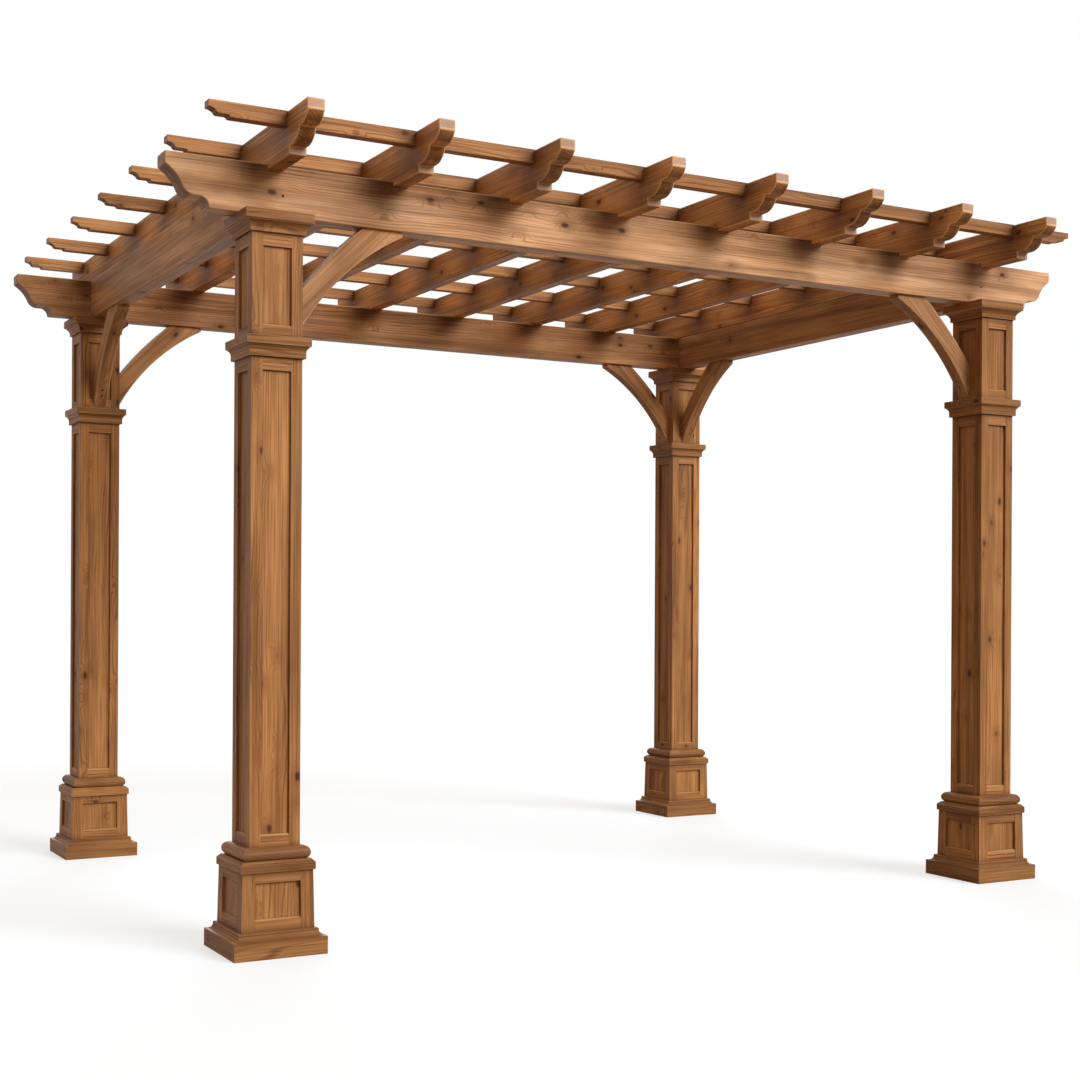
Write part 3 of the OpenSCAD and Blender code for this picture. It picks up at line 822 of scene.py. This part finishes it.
class PERGOLA_OT_braces(bpy.types.Operator):
    """Ease the curved knee braces, with their grain along the slope"""

    bl_idname = "pergola.braces"
    bl_label = "Braces"

    def execute(self, context):
        weather = context.scene.pergola_timber.brace_weather
        for corner in CORNERS:
            side = 1 if corner.endswith("left") else -1
            slope = Vector((side, 0, 1)).normalized()
            eased_timber(corner + "_brace", (slope, Y_AXIS, slope.cross(Y_AXIS)), "braces", weather)
        slope = Vector((0, -1, 1)).normalized()
        for node in ("back_left_side_brace", "back_right_side_brace"):
            eased_timber(node, (slope, X_AXIS, slope.cross(X_AXIS)), "braces", weather)
        return {"FINISHED"}


class PERGOLA_OT_rafters(bpy.types.Operator):
    """Ease the rafters, and paint shade on them by the slats and on their ends"""

    bl_idname = "pergola.rafters"
    bl_label = "Rafters"

    def execute(self, context):
        sizes = context.scene.pergola_timber
        patches = (crossings(SLATS, Y_AXIS), sizes.rafter_patch, sizes.roof_drop, sizes.roof_strength)
        for node in RAFTERS:
            patched_timber(node, ALONG_Y, "rafters", patches, sizes.roof_weather, sizes.rafter_thin)
        return {"FINISHED"}


class PERGOLA_OT_slats(bpy.types.Operator):
    """Ease the slats, and paint shade on them by the rafters and on their ends"""

    bl_idname = "pergola.slats"
    bl_label = "Slats"

    def execute(self, context):
        sizes = context.scene.pergola_timber
        patches = (crossings(RAFTERS, X_AXIS), sizes.slat_patch, sizes.roof_drop, sizes.roof_strength)
        for node in SLATS:
            patched_timber(node, ALONG_X, "slats", patches, sizes.roof_weather, sizes.slat_thin)
        return {"FINISHED"}


def screw_tree(material):
    """Geometry Nodes: a round head on every point, turned to the point's own facing."""
    tree = bpy.data.node_groups.new("Screw heads", "GeometryNodeTree")
    face = tree.interface
    face.new_socket("Points", in_out="INPUT", socket_type="NodeSocketGeometry")
    face.new_socket("Head diameter", in_out="INPUT", socket_type="NodeSocketFloat")
    face.new_socket("Head height", in_out="INPUT", socket_type="NodeSocketFloat")
    face.new_socket("Sides", in_out="INPUT", socket_type="NodeSocketInt")
    face.new_socket("Heads", in_out="OUTPUT", socket_type="NodeSocketGeometry")
    entry = add_node(tree, "NodeGroupInput")
    half = add_node(tree, "ShaderNodeMath", {0: entry.outputs["Head diameter"], 1: 0.5}, operation="MULTIPLY")
    outline = {"Vertices": entry.outputs["Sides"], "Radius": half, "Depth": entry.outputs["Head height"]}
    head = add_node(tree, "GeometryNodeMeshCylinder", outline)
    facing = add_node(tree, "GeometryNodeInputNamedAttribute", {"Name": "facing"}, data_type="FLOAT_VECTOR")
    size = add_node(tree, "GeometryNodeInputNamedAttribute", {"Name": "size"}, data_type="FLOAT")
    turn = add_node(tree, "FunctionNodeAlignRotationToVector", {"Vector": facing}, axis="Z")
    heads = {"Points": entry.outputs["Points"], "Instance": head, "Rotation": turn, "Scale": size}
    placed = add_node(tree, "GeometryNodeInstanceOnPoints", heads)
    real = add_node(tree, "GeometryNodeRealizeInstances", {0: placed})
    dressed = add_node(tree, "GeometryNodeSetMaterial", {"Geometry": real, "Material": material})
    add_node(tree, "NodeGroupOutput", {"Heads": dressed})
    return tree


def brace_foot_screws(node, inward, rises):
    """Places on the hollow underside of a brace, found by looking at its foot from the open side."""
    low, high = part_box(node)
    form = solid_copy(node)
    surface = BVHTree.FromBMesh(form)
    form.free()
    middle = (low + high) / 2
    reach = (high - low).length
    found = []
    for rise in rises:
        start = Vector((middle.x, middle.y, low.z + rise)) + inward * reach
        place, facing, _, _ = surface.ray_cast(start, -inward)
        if place is None:
            raise RuntimeError("no timber for a screw in " + node)
        found.append((place, facing))
    return found


def screw_places(sizes):
    """Place, facing and size of every head: two in each brace's foot and one bolt over each column."""
    sink = sizes.head_h / 2 - sizes.stand
    rises = (sizes.foot_rise, sizes.foot_rise + sizes.foot_step)
    braces = [(corner + "_brace", X_AXIS if corner.endswith("left") else -X_AXIS) for corner in CORNERS]
    braces += [("back_left_side_brace", -Y_AXIS), ("back_right_side_brace", -Y_AXIS)]
    places = []
    for node, inward in braces:
        for place, facing in brace_foot_screws(node, inward, rises):
            places.append((place - facing * sink, facing, 1.0))
    for corner in CORNERS:
        middle = column_middle(corner)
        row = corner.split("_")[0]
        low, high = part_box(row + "_beam")
        facing = -Y_AXIS if row == "front" else Y_AXIS
        face_y = low.y if row == "front" else high.y
        across = middle.x - math.copysign(sizes.bolt_inset, middle.x)
        place = Vector((across, face_y, low.z + sizes.bolt_level * (high.z - low.z)))
        places.append((place - facing * sink, facing, sizes.bolt_scale))
    return places


class PERGOLA_OT_screws(bpy.types.Operator):
    """Sink the screw heads in the timber"""

    bl_idname = "pergola.screws"
    bl_label = "Screws"

    def execute(self, context):
        sizes = context.scene.pergola_screws
        places = screw_places(sizes)
        points = bpy.data.meshes.new("screw_points")
        points.from_pydata([place for place, _, _ in places], [], [])
        facing = points.attributes.new("facing", "FLOAT_VECTOR", "POINT")
        facing.data.foreach_set("vector", [c for _, way, _ in places for c in way])
        size = points.attributes.new("size", "FLOAT", "POINT")
        size.data.foreach_set("value", [scale for _, _, scale in places])
        seed = bpy.data.objects.new("screw_points", points)
        context.scene.collection.objects.link(seed)
        tree = screw_tree(blackened_steel(context.scene.pergola_finish))
        modifier = seed.modifiers.new("Screw heads", "NODES")
        modifier.node_group = tree
        values = {"Head diameter": sizes.head_d, "Head height": sizes.head_h, "Sides": sizes.sides}
        for item in tree.interface.items_tree:
            if item.in_out == "INPUT" and item.name in values:
                modifier[item.identifier] = values[item.name]
        context.view_layer.update()
        shown = seed.evaluated_get(context.evaluated_depsgraph_get())
        mesh = bpy.data.meshes.new_from_object(shown)
        mesh.name = "screw_heads"
        bpy.data.objects.remove(seed)
        if not mesh.polygons:
            raise RuntimeError("the screw heads came out empty")
        heads = bpy.data.objects.new("screw_heads", mesh)
        context.scene.collection.objects.link(heads)
        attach(heads, "root")
        return {"FINISHED"}


# Width of the camera's sensor in millimetres, and how far the camera sees in metres
SENSOR_W = 36
CLIP_END = 500


class PERGOLA_OT_stage(bpy.types.Operator):
    """Lay the floor and set the lights and the camera"""

    bl_idname = "pergola.stage"
    bl_label = "Stage"

    def execute(self, context):
        scene = context.scene
        stage = scene.pergola_stage
        self.floor(scene, stage)
        self.sky(scene, stage)
        self.lamp(scene, "Key", stage.sun_from, stage.sun_strength, stage.sun_spread)
        self.lamp(scene, "Back", stage.back_from, stage.back_strength, stage.sun_spread)
        self.camera(scene, stage)
        scene.view_settings.view_transform = "Standard"
        return {"FINISHED"}

    def lamp(self, scene, name, direction, strength, spread):
        light = bpy.data.lights.new(name, "SUN")
        light.energy = strength
        light.angle = spread
        lamp = bpy.data.objects.new(name, light)
        lamp.rotation_euler = Vector(direction).to_track_quat("Z", "Y").to_euler()
        scene.collection.objects.link(lamp)

    def floor(self, scene, stage):
        half = stage.floor_half
        corners = [(-half, -half, 0), (half, -half, 0), (half, half, 0), (-half, half, 0)]
        mesh = bpy.data.meshes.new("floor")
        mesh.from_pydata(corners, [], [(0, 1, 2, 3)])
        mesh.materials.append(studio_floor(stage))
        floor = bpy.data.objects.new("floor", mesh)
        scene.collection.objects.link(floor)

    def sky(self, scene, stage):
        scene.world = scene.world or bpy.data.worlds.new("Sky")
        scene.world.use_nodes = True
        tree = scene.world.node_tree
        tree.nodes.clear()
        seen = seen_rays(tree)
        colours = {0: seen, 6: tuple(stage.fill_colour), 7: WHITE}
        colour = add_node(tree, "ShaderNodeMix", colours, data_type="RGBA")
        strengths = {0: seen, 1: 1.0 - stage.sky_strength, 2: stage.sky_strength}
        strength = add_node(tree, "ShaderNodeMath", strengths, operation="MULTIPLY_ADD")
        light = add_node(tree, "ShaderNodeBackground", {"Color": colour, "Strength": strength})
        add_node(tree, "ShaderNodeOutputWorld", {"Surface": light})

    def camera(self, scene, stage):
        data = bpy.data.cameras.new("Camera")
        data.sensor_width = SENSOR_W
        data.lens = stage.lens
        data.shift_y = stage.rise
        data.clip_end = CLIP_END
        camera = bpy.data.objects.new("Camera", data)
        heading = stage.camera_heading
        ahead = Vector((math.sin(heading), math.cos(heading), 0))
        level = Vector((math.cos(heading), -math.sin(heading), 0))
        right = math.cos(stage.camera_roll) * level + math.sin(stage.camera_roll) * Z_AXIS
        up = math.cos(stage.camera_roll) * Z_AXIS - math.sin(stage.camera_roll) * level
        turn = Matrix((right, up, -ahead)).transposed().to_4x4()
        camera.matrix_world = Matrix.Translation(Vector(stage.camera_place)) @ turn
        scene.collection.objects.link(camera)
        scene.camera = camera


GROUPS = {
    "pergola_timber": PergolaTimber,
    "pergola_finish": PergolaFinish,
    "pergola_screws": PergolaScrews,
    "pergola_stage": PergolaStage,
}
OPERATORS = (
    PERGOLA_OT_mouldings,
    PERGOLA_OT_pedestals,
    PERGOLA_OT_posts,
    PERGOLA_OT_beams,
    PERGOLA_OT_braces,
    PERGOLA_OT_rafters,
    PERGOLA_OT_slats,
    PERGOLA_OT_screws,
    PERGOLA_OT_stage,
)


class PERGOLA_PT_panel(bpy.types.Panel):
    """Lists the pergola's pieces"""

    bl_idname = "PERGOLA_PT_panel"
    bl_label = "Pergola"
    bl_space_type = "VIEW_3D"
    bl_region_type = "UI"
    bl_category = "Pergola"

    def draw(self, context):
        for operator in OPERATORS:
            self.layout.operator(operator.bl_idname)
        for name, group in GROUPS.items():
            column = self.layout.column()
            for key in group.__annotations__:
                column.prop(getattr(context.scene, name), key)


def register():
    for name, group in GROUPS.items():
        bpy.utils.register_class(group)
        setattr(bpy.types.Scene, name, bpy.props.PointerProperty(type=group))
    for operator in OPERATORS:
        bpy.utils.register_class(operator)
    bpy.utils.register_class(PERGOLA_PT_panel)


def unregister():
    bpy.utils.unregister_class(PERGOLA_PT_panel)
    for operator in reversed(OPERATORS):
        bpy.utils.unregister_class(operator)
    for name, group in GROUPS.items():
        delattr(bpy.types.Scene, name)
        bpy.utils.unregister_class(group)


def main():
    register()
    bpy.ops.pergola.mouldings()
    bpy.ops.pergola.pedestals()
    bpy.ops.pergola.posts()
    bpy.ops.pergola.beams()
    bpy.ops.pergola.braces()
    bpy.ops.pergola.rafters()
    bpy.ops.pergola.slats()
    bpy.ops.pergola.screws()
    bpy.ops.pergola.stage()


if __name__ == "__main__":
    main()
